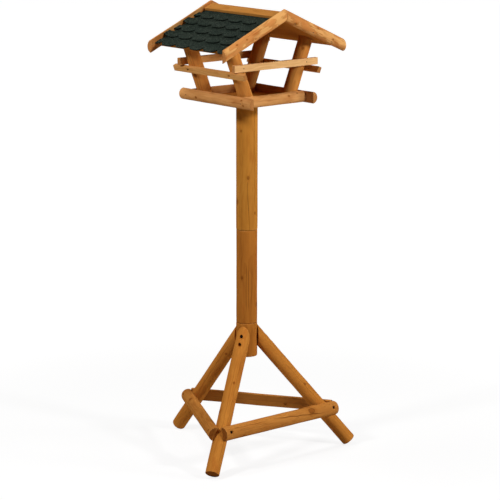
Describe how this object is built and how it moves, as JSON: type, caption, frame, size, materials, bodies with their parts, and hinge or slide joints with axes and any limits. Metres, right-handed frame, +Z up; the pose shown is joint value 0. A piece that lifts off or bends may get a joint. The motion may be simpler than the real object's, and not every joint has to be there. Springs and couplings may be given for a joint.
{
  "type": "bird table",
  "caption": "Free-standing bird table: shingled gable roof on leaning posts over a railed tray, on a round mast with splayed legs and half-round stretchers.",
  "frame": {"origin": "on level ground, straight below the mast's axis", "axes": "+Z up along the mast; +Y along the ridge, towards the back leg; +X to the right, across the ridge; the front gable faces -Y"},
  "size_m": [0.4517, 0.4004, 1.04],
  "materials": {
    "mast_wood": "stained, satin",
    "leg_wood": "stained, satin",
    "rail_wood": "stained, satin",
    "slat_wood": "stained, satin",
    "board_wood": "stained, satin",
    "dowel_wood": "plain",
    "shingle": "bitumen with dark green mineral granules",
    "zinc": "zinc plated"
  },
  "bodies": {
    "root": {"mast_upper": "mast_wood", "mast_lower": "mast_wood", "mast_foot_block": "mast_wood", "mast_dowel_upper": "dowel_wood", "mast_dowel_lower": "dowel_wood", "leg_front_left": "leg_wood", "leg_front_right": "leg_wood", "leg_back": "leg_wood", "stretcher_front": "leg_wood", "stretcher_right": "leg_wood", "stretcher_left": "leg_wood", "floor_board": "board_wood", "tray_rail_front": "rail_wood", "tray_rail_back": "rail_wood", "tray_rail_left": "rail_wood", "tray_rail_right": "rail_wood", "post_front_left": "rail_wood", "post_front_right": "rail_wood", "post_back_left": "rail_wood", "post_back_right": "rail_wood", "perch_front": "slat_wood", "perch_back": "slat_wood", "perch_left": "slat_wood", "perch_right": "slat_wood", "roof_board_left": "board_wood", "roof_board_right": "board_wood", "verge_front_left": "rail_wood", "verge_front_right": "rail_wood", "verge_back_left": "rail_wood", "verge_back_right": "rail_wood", "ridge_board_left": "board_wood", "ridge_board_right": "board_wood", "shingle_row_left_1": "shingle", "shingle_row_left_2": "shingle", "shingle_row_left_3": "shingle", "shingle_row_left_4": "shingle", "shingle_row_left_5": "shingle", "shingle_row_right_1": "shingle", "shingle_row_right_2": "shingle", "shingle_row_right_3": "shingle", "shingle_row_right_4": "shingle", "shingle_row_right_5": "shingle", "leg_screws": "zinc", "stretcher_screws": "zinc", "floor_screws": "zinc", "post_foot_screws": "zinc", "tray_nails": "zinc", "perch_nails": "zinc", "perch_screws": "zinc", "roof_post_nails": "zinc", "verge_nails": "zinc", "shingle_nails": "zinc", "ridge_nails": "zinc"}
  },
  "joints": []
}
